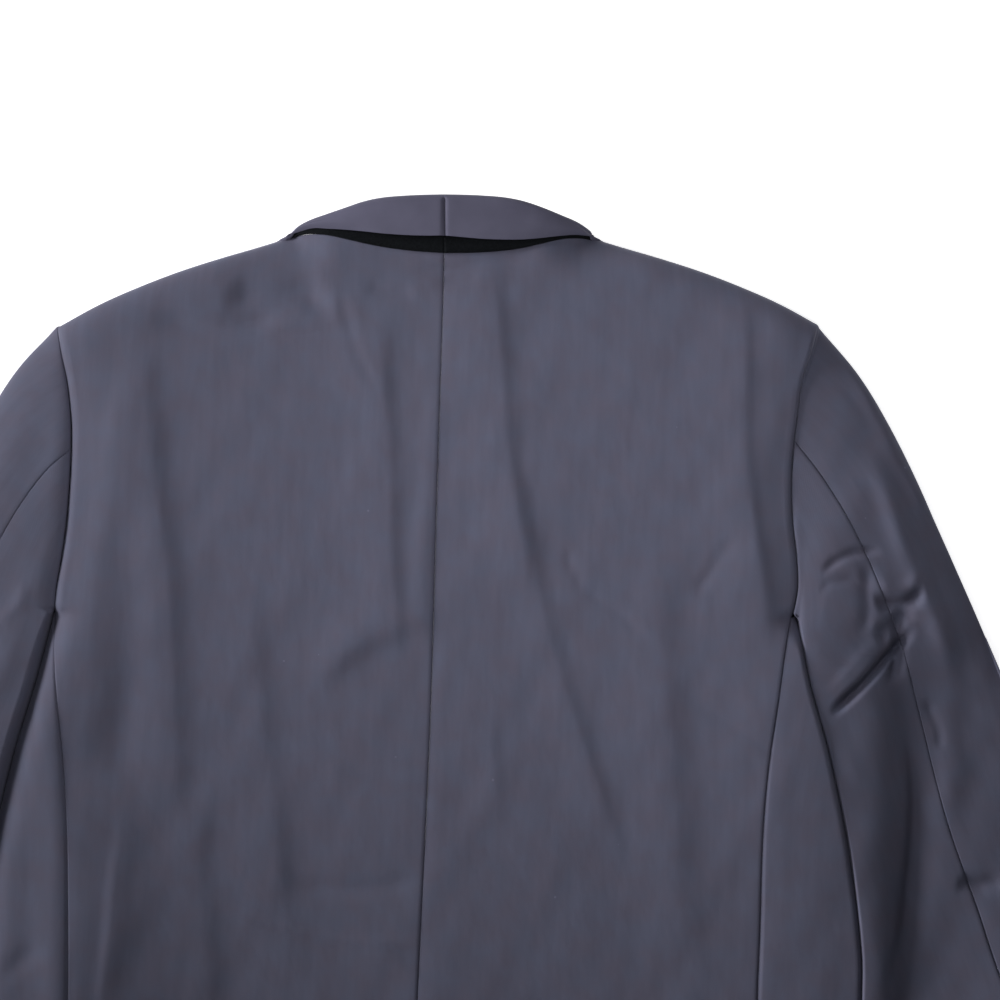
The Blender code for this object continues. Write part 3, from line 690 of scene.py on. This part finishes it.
def sleeve_points(side, at, along, upper):
    """Points on the sleeve's sections. `along` runs across from the inner edge to the outer one."""
    inner_x, inner_y, outer_x, outer_y, height, edge_height, bow, seam, crest, roundness = stations(side, at)
    # Until it leaves the body the inner edge lies against the body's own edge.
    against = side * of_side(BODY_EDGE, inner_y, side) - 0.1
    inner_x = mix(against, inner_x, smooth(at - LEAVES_BODY))
    inner_x, outer_x = side * inner_x, side * outer_x
    across, down = outer_x - inner_x, outer_y - inner_y
    width = np.hypot(across, down)
    bowed = bow * 4 * along * (1 - along) / width
    x = inner_x + across * along - side * np.abs(down) * bowed
    y = inner_y + down * along + side * across * bowed
    nearest = np.minimum(along, 1 - along) * width
    _, sine = quarter(nearest, TURN_UNDER)
    part = np.clip((along - crest) / (1 - crest), 0, 1)
    part = 1.1 * part**2 / (part + 0.1)
    away = mix(1 - part, (1 - np.minimum(part, 1) ** 2.6) ** (1 / 2.6), roundness)
    _, rounded = quarter((1 - along) * width, SLEEVE_EDGE_ROLL)
    top = edge_height + (height - edge_height) * away * mix(rounded, 1, roundness)
    # It climbs from the armhole seam, and under the arm from the body's edge.
    if np.max(at) > 0:
        first_x, first_y, _ = sleeve_points(side, np.zeros_like(at), along, upper)
        onto_seam = of_side(SIDE_SEAM, first_y, side) + side * SEAM / 2 - first_x
        x = x + onto_seam * smooth(along / 0.015) * (1 - smooth(at / 1.5))
    seam_x = of_side(SIDE_SEAM, y, side) + side * SEAM / 2
    in_armhole = smooth((y - UNDERARM[side]) / ARMHOLE_FADE)
    from_seam = np.maximum(side * (x - seam_x), 0)
    in_from = mix(along * width, from_seam, in_armhole)
    climb = shoulder(in_from, mix(SLEEVE_ROLL[side], SLEEVE_SHOULDER[side], in_armhole), SLEEVE_SQUARE[side])
    foot = mix(edge_z(y, side), body_top(seam_x, y), in_armhole)
    _, turned = quarter(from_edge(seam_x, y), TURN_UNDER)
    low = mix(edge_z(y, side), edge_height, smooth(along * 3))
    below = mix(low * (1 - sine), EDGE_HEIGHT * (1 - turned), 1 - smooth(at))
    z = np.where(upper, mix(foot, top, climb), below)
    lift = folds(x, y, SLEEVE_FOLDS[side]) + ripples(x + 90, y) * 1.2
    lift = lift + seam_line(np.abs(along - seam) * width, (along > seam) == (side == RIGHT), 0.6)
    return x, y, z + np.where(upper, lift * climb, 0)


def sleeve_panel(side, top):
    """p runs from the hindarm seam to the edge at 0.5 and back underneath to the forearm seam."""
    def place(p, q):
        at = q
        inner_x, inner_y, outer_x, outer_y, _, _, _, seam, _, _ = stations(side, at)
        gap = SEAM / 2 / np.hypot(outer_x - inner_x, outer_y - inner_y)
        upper = p <= 0.5
        part = np.abs(1 - 2 * p)
        part = part ** mix(1.9, 1.2, part)
        if top:
            start = np.where(upper, seam + gap, FOREARM_SEAM + gap)
            along = 1 - part * (1 - start)
        else:
            start = np.where(upper, seam - gap, FOREARM_SEAM - gap)
            along = part * start
        return np.stack(sleeve_points(side, at, along, upper), axis=-1)

    return place


SLEEVE_COLUMNS = np.concatenate((
    SEAM_ENDS, np.linspace(0.03, 0.4, 48)[1:], np.linspace(0.4, 0.6, 19)[1:], np.linspace(0.6, 0.97, 18)[1:],
    1 - SEAM_ENDS[-2::-1],
))
for side_name, side in SIDES:
    for kind, top, flat in (("top", True, (0.225, 0.650)), ("under", False, (0.165, 0.510))):
        panel = shell(
            f"{side_name}_{kind}_sleeve", SLEEVE_COLUMNS, SLEEVE_ROWS, sleeve_panel(side, top), WOOL, wool
        )
        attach(panel, "root")
        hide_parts(f"{kind}_sleeve_{side_name}")


# ------------------------------------------------------------------------------- The satin shawl
# Each half is one facing of satin in the wool's colour, joined to the other by a seam at the middle
# of the neck. It rolls over the undercollar, turns over the shoulder and runs on as the lapel.

SATIN = 1.0
SATIN_BLUE = (0.0935, 0.0905, 0.133)
# columns: x from the middle, y of the fold, y of the edge on the left, on the right, height of the
# fold and of the edge, half thickness, lean
COLLAR = (
    (0.01, 35.7, 9.7, 9.7, 21.8, 32.0, 4.4, 0),
    (12, 35.5, 9.6, 8.6, 21.8, 32.0, 4.4, 0),
    (24, 35.0, 10.0, 7.6, 21.6, 31.6, 4.4, 0),
    (38, 33.8, 11.0, 7.2, 21.0, 30.8, 4.4, 0),
    (50, 31.2, 12.4, 7.4, 20.0, 29.4, 4.3, 3),
    (62, 26.6, 13.6, 8.6, 18.6, 27.4, 4.2, 7),
    (73, 21.8, 14.4, 10.0, 16.2, 24.8, 4.0, 13),
    (82, 18.4, 15.0, 10.8, 13.8, 21.4, 3.4, 20),
    (90, 14.8, 13.4, 10.4, 11.4, 17.4, 2.6, 27),
)
# Where it turns over the shoulder. columns: seam x, y, z, fold x, y, z, edge x, y, z, half thickness
TURN = (
    (93.0, 9.4, 8.4, 94.2, 12.4, 9.0, 96.6, 10.4, 13.4, 1.9),
    (95.0, 6.2, 6.4, 95.4, 9.4, 7.2, 101.0, 8.6, 7.0, 1.8),
    (96.6, 1.8, 5.4, 95.4, 3.6, 5.6, 107.6, 4.8, 1.8, 2.2),
)


def collar_path(seam, fold, edge, half, lift_way, swell):
    """Points across the collar: up the stand, round the fold, and down the fall to the free edge."""
    up = (fold - seam) / np.linalg.norm(fold - seam)
    lift_way = lift_way - up * lift_way.dot(up)
    lift_way = lift_way / np.linalg.norm(lift_way)
    middle = fold - up * half + lift_way * half
    turn = []
    for angle in np.radians(np.linspace(-90, 90, 9)):
        turn.append(middle + (up * math.cos(angle) + lift_way * math.sin(angle)) * half)
    fall = []
    for part in (0.02, 0.07, 0.2, 0.4, 0.6, 0.78, 0.92, 1):
        fall.append(mix(turn[-1], edge, part) + lift_way * swell * math.sin(math.pi * part))
    stand = [mix(seam, turn[0], part) for part in (0, 0.35, 0.7, 0.92)]
    return stand + turn + fall


def shawl_net(side):
    rows = []
    for out, fold_y, left_y, right_y, fold_z, edge_z, half, lean in COLLAR:
        x = centre_x(0) + side * out
        seam_y = neck_y(x, side)
        seam_z = body_top(np.array([x]), np.array([seam_y - 0.01]))[0] - 1.0
        lift_way = np.array((side * math.sin(math.radians(lean)), 0, math.cos(math.radians(lean))))
        seam = np.array((x, seam_y + 0.1, seam_z))
        fold = np.array((x, fold_y, fold_z))
        edge = np.array((x, left_y if side == LEFT else right_y, edge_z))
        rows.append(collar_path(seam, fold, edge, half, lift_way, 1.6))
    for row in TURN:
        seam, fold, edge = (np.array((side * row[k], row[k + 1], row[k + 2])) for k in (0, 3, 6))
        lift_way = edge - fold
        rows.append(collar_path(seam, fold, edge, row[9], lift_way, 0.6))
    for y, width in LAPEL:
        fold = np.array((centre_x(y) + side * curve(FRONT_EDGE, y), y, 2 * LAPEL_FOLD))
        slope = np.array((side * (curve(FRONT_EDGE, y + 5) - curve(FRONT_EDGE, y - 5)), 10, 0))
        slope = slope / np.linalg.norm(slope)
        out = np.array((side * slope[1], -side * slope[0], 0))
        seam = fold + out * (LAPEL_FOLD + 1.5)
        edge = fold + out * (width + LAPEL_FOLD)
        edge[2] = 0
        path = collar_path(seam, fold, edge, LAPEL_FOLD, np.array((0, 0, -1.0)), 0)
        for point in path:
            raised = over_left(point[0], point[1]) if side == RIGHT else 0
            point[2] += raised + over_button(point[0], point[1])
        rows.append(path)
    return np.array(rows)


def net_points(net, p, q):
    """Points of the smooth surface through a net of control points."""
    count = net.shape[1]
    cross = np.stack([
        np.stack([curve(list(enumerate(net[:, j, axis])), q[:, 0]) for axis in range(3)], axis=-1)
        for j in range(count)
    ], axis=1)
    at = p * (count - 1)
    k = np.clip(at.astype(int), 0, count - 2)
    t = (at - k)[..., None]
    row = np.arange(len(q))[:, None]
    before, here = cross[row, np.maximum(k - 1, 0)], cross[row, k]
    after, beyond = cross[row, k + 1], cross[row, np.minimum(k + 2, count - 1)]
    slope_here, slope_after = (after - before) / 2, (beyond - here) / 2
    steady = (2 * t**3 - 3 * t**2 + 1) * here + (3 * t**2 - 2 * t**3) * after
    return steady + (t**3 - 2 * t**2 + t) * slope_here + (t**3 - t**2) * slope_after


def satin_weave(name):
    """Satin: long floats of a fine smooth yarn, so a broad soft shine and hardly any texture."""
    made, shader, add, link = finish_nodes(name)
    weave = add("ShaderNodeUVMap", uv_map="weave")
    place = add("ShaderNodeTexCoord")
    along = add("ShaderNodeMapping", Scale=(60, 1500, 1))
    link(weave.outputs["UV"], along.inputs["Vector"])
    floats = add("ShaderNodeTexNoise", Scale=1, Detail=1, Roughness=0.5)
    link(along.outputs["Vector"], floats.inputs["Vector"])
    cloud = add("ShaderNodeTexNoise", Scale=55, Detail=3, Roughness=0.5)
    link(place.outputs["Object"], cloud.inputs["Vector"])
    colour = add("ShaderNodeValToRGB")
    low, high = colour.color_ramp.elements
    low.position, high.position = 0.3, 0.7
    low.color = (*(c * 0.93 for c in SATIN_BLUE), 1)
    high.color = (*(c * 1.07 for c in SATIN_BLUE), 1)
    link(cloud.outputs["Fac"], colour.inputs["Fac"])
    link(colour.outputs["Color"], shader.inputs["Base Color"])
    bump = add("ShaderNodeBump", Strength=0.25, Distance=0.00006)
    link(floats.outputs["Fac"], bump.inputs["Height"])
    link(bump.outputs["Normal"], shader.inputs["Normal"])
    shader.inputs["Roughness"].default_value = 0.62
    shader.inputs["Specular IOR Level"].default_value = 0.06
    shader.inputs["Sheen Weight"].default_value = 0.06
    shader.inputs["Sheen Roughness"].default_value = 0.4
    return made


satin = satin_weave("midnight_satin")
shawl_nets = {side: shawl_net(side) for _, side in SIDES}
SHAWL_COLUMNS = np.linspace(0, 1, 76)
last_row = len(COLLAR) + len(TURN) + len(LAPEL) - 1
SHAWL_ROWS = np.concatenate((
    (0, 0.04, 0.09, 0.16, 0.25), np.linspace(0.35, len(COLLAR) + len(TURN), 90),
    np.linspace(len(COLLAR) + len(TURN), last_row, 70)[1:],
))


def shawl_half(side):
    def place(p, q):
        points = net_points(shawl_nets[side], p, q)
        # The centre seam is pressed open: a groove with a raised edge on each side.
        out = side * (points[..., 0] - centre_x(0))
        on_collar = smooth((8.0 - q) / 2)
        fall = smooth((p - 0.5) / 0.1)
        groove = 0.12 * np.exp(-(((out - 4.5) / 2.6) ** 2)) - 1.5 * np.exp(-((out / 1.1) ** 2))
        points[..., 2] = np.maximum(points[..., 2] + on_collar * fall * groove, 0.05)
        return points

    return place


for side_name, side in SIDES:
    half = shell(
        f"{side_name}_shawl", SHAWL_COLUMNS, SHAWL_ROWS, shawl_half(side), SATIN, satin, up_first=False
    )
    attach(half, "root")
    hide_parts(f"collar_{side_name}", f"lapel_{side_name}")


# ------------------------------------------------------------------------------- The undercollar
# Two pieces of black undercollar felt, cut on the bias and joined at the middle, sewn flat to the
# neck edge. The satin rolls over them; they show between its edge and the back's neck seam. Their
# colour is black felt darkened further with painted shade: the shade under the satin's fall.

FELT = 1.4
# The felt's black, darkened further with painted shade for the shade under the satin's fall.
FELT_BLACK_AND_SHADE = (0.0035, 0.004, 0.005)


def collar_felt(name):
    made, shader, add, link = finish_nodes(name)
    place = add("ShaderNodeTexCoord")
    fibre = add("ShaderNodeTexNoise", Scale=900, Detail=3, Roughness=0.7)
    clump = add("ShaderNodeTexNoise", Scale=160, Detail=3, Roughness=0.6)
    link(place.outputs["Object"], fibre.inputs["Vector"])
    link(place.outputs["Object"], clump.inputs["Vector"])
    colour = add("ShaderNodeValToRGB")
    low, high = colour.color_ramp.elements
    low.position, high.position = 0.35, 0.75
    # Black felt with painted shade in it, flecked with paler fibres.
    low.color = (*FELT_BLACK_AND_SHADE, 1)
    high.color = (*(c * 2.2 for c in FELT_BLACK_AND_SHADE), 1)
    link(fibre.outputs["Fac"], colour.inputs["Fac"])
    link(colour.outputs["Color"], shader.inputs["Base Color"])
    both = add("ShaderNodeMath", operation="ADD")
    link(fibre.outputs["Fac"], both.inputs[0])
    link(clump.outputs["Fac"], both.inputs[1])
    bump = add("ShaderNodeBump", Strength=0.8, Distance=0.0005)
    link(both.outputs[0], bump.inputs["Height"])
    link(bump.outputs["Normal"], shader.inputs["Normal"])
    shader.inputs["Roughness"].default_value = 0.95
    shader.inputs["Specular IOR Level"].default_value = 0.06
    shader.inputs["Sheen Weight"].default_value = 0.02
    return made


felt = collar_felt("undercollar_felt")
FELT_ROWS = np.linspace(0, len(COLLAR) - 0.5, 72)
FELT_COLUMNS = np.linspace(0, 1, 40)


def undercollar_half(side):
    """Inside the satin's roll, a wall and a hair's breadth in from it."""
    def place(p, q):
        eps = 0.004
        # Towards the neck point only the part sewn to the neck edge is left.
        p = p * mix(1, 0.16, smooth((q - 3.6) / 1.6))
        here = net_points(shawl_nets[side], p, q)
        along = net_points(shawl_nets[side], p, q + 0.02) - here
        lower = np.maximum(p - eps, 0)
        upper = np.minimum(p + eps, 1)
        across = net_points(shawl_nets[side], upper, q) - net_points(shawl_nets[side], lower, q)
        way = np.cross(along, across) * side
        way = way / np.linalg.norm(way, axis=-1, keepdims=True)
        points = here + way * (SATIN + 0.8)
        # Sewn down over the neck edge, and to the other half at the middle.
        points[..., 1] -= 1.0 * (1 - smooth(p / 0.1))
        points[..., 0] -= side * 0.1 * (1 - smooth(q / 0.05))
        return points

    return place


for side_name, side in SIDES:
    half = shell(
        f"{side_name}_undercollar", FELT_COLUMNS, FELT_ROWS, undercollar_half(side), FELT, felt,
        up_first=False,
    )
    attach(half, "root")
    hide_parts(f"undercollar_{side_name}")


# -------------------------------------------------------------------------------------- The buttons
# One button covered in the shawl's satin fastens the front, under the jacket as it lies, and three
# smaller ones stand on each cuff beside the hindarm seam. Each is a domed shell on a flat back.

button_satin = satin_weave("button_satin")


def covered_button(name, node):
    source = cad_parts[node]
    bm = bmesh.new()
    bm.from_mesh(source.data)
    bmesh.ops.remove_doubles(bm, verts=bm.verts, dist=1e-6)
    bmesh.ops.dissolve_limit(bm, angle_limit=math.radians(2), verts=bm.verts, edges=bm.edges)
    mesh = bpy.data.meshes.new(name)
    bm.to_mesh(mesh)
    bm.free()
    mesh.shade_smooth()
    mesh.materials.append(button_satin)
    obj = bpy.data.objects.new(name, mesh)
    bpy.context.scene.collection.objects.link(obj)
    round_off = obj.modifiers.new("round", "SUBSURF")
    round_off.levels = round_off.render_levels = 2
    return obj


for node in [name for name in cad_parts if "button" in name]:
    button = covered_button(f"covered_{node}", node)
    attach(button, "root")
    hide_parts(node)


# ------------------------------------------------------------------------ Floor, light and camera
# A plain white surface that glows, a low broad light from the wearer's left, a soft lamp above the
# upper back, a dim even room, and a camera straight above the upper back.

bm = bmesh.new()
bmesh.ops.create_grid(bm, x_segments=1, y_segments=1, size=6)
# A little under z = 0, because the under sleeves' corners under the arms reach up to 1 mm below it.
bmesh.ops.translate(bm, verts=bm.verts, vec=(0, 0, -0.0012))
mesh = bpy.data.meshes.new("floor")
bm.to_mesh(mesh)
bm.free()
floor = bpy.data.objects.new("floor", mesh)
bpy.context.scene.collection.objects.link(floor)
paint, shader, *_ = finish_nodes("white_surface")
shader.inputs["Base Color"].default_value = (0.9, 0.9, 0.9, 1)
shader.inputs["Roughness"].default_value = 0.9
shader.inputs["Emission Color"].default_value = (1, 1, 1, 1)
shader.inputs["Emission Strength"].default_value = 0.75
mesh.materials.append(paint)


def aimed(name, data, place, target):
    lamp = bpy.data.objects.new(name, data)
    bpy.context.scene.collection.objects.link(lamp)
    lamp.location = place
    lamp.rotation_mode = "QUATERNION"
    lamp.rotation_quaternion = (Vector(target) - Vector(place)).to_track_quat("-Z", "Y")


softbox = bpy.data.lights.new("softbox", "AREA")
softbox.shape = "RECTANGLE"
softbox.size, softbox.size_y = 0.70, 0.34
softbox.energy = 1.36
aimed("softbox", softbox, (0.05, 0.26, 0.40), (0.05, 0.25, 0.0))
side_light = bpy.data.lights.new("side_light", "SUN")
side_light.angle = math.radians(24)
side_light.energy = 4.2
aimed("side_light", side_light, (-2.0, 0.4, 0.62), (0, 0, 0))

world = bpy.context.scene.world or bpy.data.worlds.new("room")
bpy.context.scene.world = world
world.use_nodes = True
world.node_tree.nodes["Background"].inputs["Color"].default_value = (1, 1, 1, 1)
world.node_tree.nodes["Background"].inputs["Strength"].default_value = 0.035
bpy.context.scene.view_settings.view_transform = "Standard"

CAMERA_LENS = 135
SENSOR_WIDTH = 36
# The view is this wide at this height over the surface, and its middle is here.
VIEW_WIDTH, VIEW_HEIGHT = 0.630, 0.012
VIEW_X, VIEW_Y = 0.0598, 0.2102
camera = bpy.data.cameras.new("camera")
camera.lens = CAMERA_LENS
camera.sensor_width = SENSOR_WIDTH
camera_object = bpy.data.objects.new("camera", camera)
camera_object.location = (VIEW_X, VIEW_Y, VIEW_HEIGHT + VIEW_WIDTH * CAMERA_LENS / SENSOR_WIDTH)
bpy.context.scene.collection.objects.link(camera_object)
bpy.context.scene.camera = camera_object
